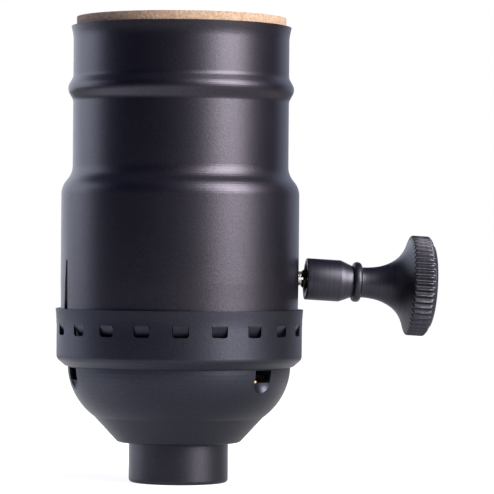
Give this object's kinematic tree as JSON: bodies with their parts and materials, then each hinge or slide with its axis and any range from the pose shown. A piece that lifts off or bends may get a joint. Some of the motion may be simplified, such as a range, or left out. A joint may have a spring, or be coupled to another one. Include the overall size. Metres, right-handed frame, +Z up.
{
  "type": "turn knob lamp socket",
  "caption": "Metal-shell screw lamp holder with a drooping knurled turn knob, stepped and beaded shell, domed push-fit cap with threaded hub, and card liners.",
  "frame": {"origin": "centre of the hub's lower face, on the socket's axis", "axes": "+Z up along the socket's axis towards the lamp; the knob points along +X, drooping 3.2 degrees; +Y completes a right-handed frame"},
  "size_m": [0.0562, 0.0364, 0.0684],
  "materials": {
    "shell_metal": "satin dark bronze plating",
    "cap_metal": "satin dark bronze plating",
    "hub_metal": "satin dark bronze plating",
    "card": "plain fibre card",
    "cap_card": "plain fibre card",
    "knob_metal": "turned, dark plated, fine tool lines",
    "phenolic": "moulded, slightly glossy",
    "rotor_moulding": "moulded brown",
    "fibre": "vulcanised fibre",
    "thread_metal": "thin formed sheet, bright",
    "brass": "stamped strip, satin",
    "nickel": "nickel plated",
    "spring_steel": "spring temper",
    "steel": "zinc plated"
  },
  "bodies": {
    "socket": {"outer_shell": "shell_metal", "shell_liner": "card", "cap_shell": "cap_metal", "cap_liner": "cap_card", "cap_hub": "hub_metal", "hub_set_screw": "steel", "switch_base": "phenolic", "upper_body": "phenolic", "body_screws": "steel", "screw_shell": "thread_metal", "shell_rivets": "nickel", "contact_anchor": "brass", "contact_rivet": "nickel", "out_contact": "brass", "hot_terminal": "brass", "hot_screw": "brass", "neutral_strap": "nickel", "neutral_screw": "nickel", "detent_spring": "spring_steel"},
    "knob_group": {"knob": "knob_metal", "switch_shaft": "steel", "rotor": "rotor_moulding", "rotor_contact": "brass", "shaft_spacer": "fibre", "retaining_clip": "spring_steel"},
    "contact_tongue": {"centre_contact": "brass"}
  },
  "joints": [
    {"name": "knob_turn", "type": "hinge", "parent": "socket", "child": "knob_group", "pos_m": [0, 0, 0.0311], "axis": [0.9984, 0, -0.0558], "continuous": true},
    {"name": "contact_flex", "type": "hinge", "parent": "socket", "child": "contact_tongue", "pos_m": [0, -0.0046, 0.0416], "axis": [-1, 0, 0], "range_deg": [0, 15], "stiffness_Nm_per_rad": 0.03}
  ]
}
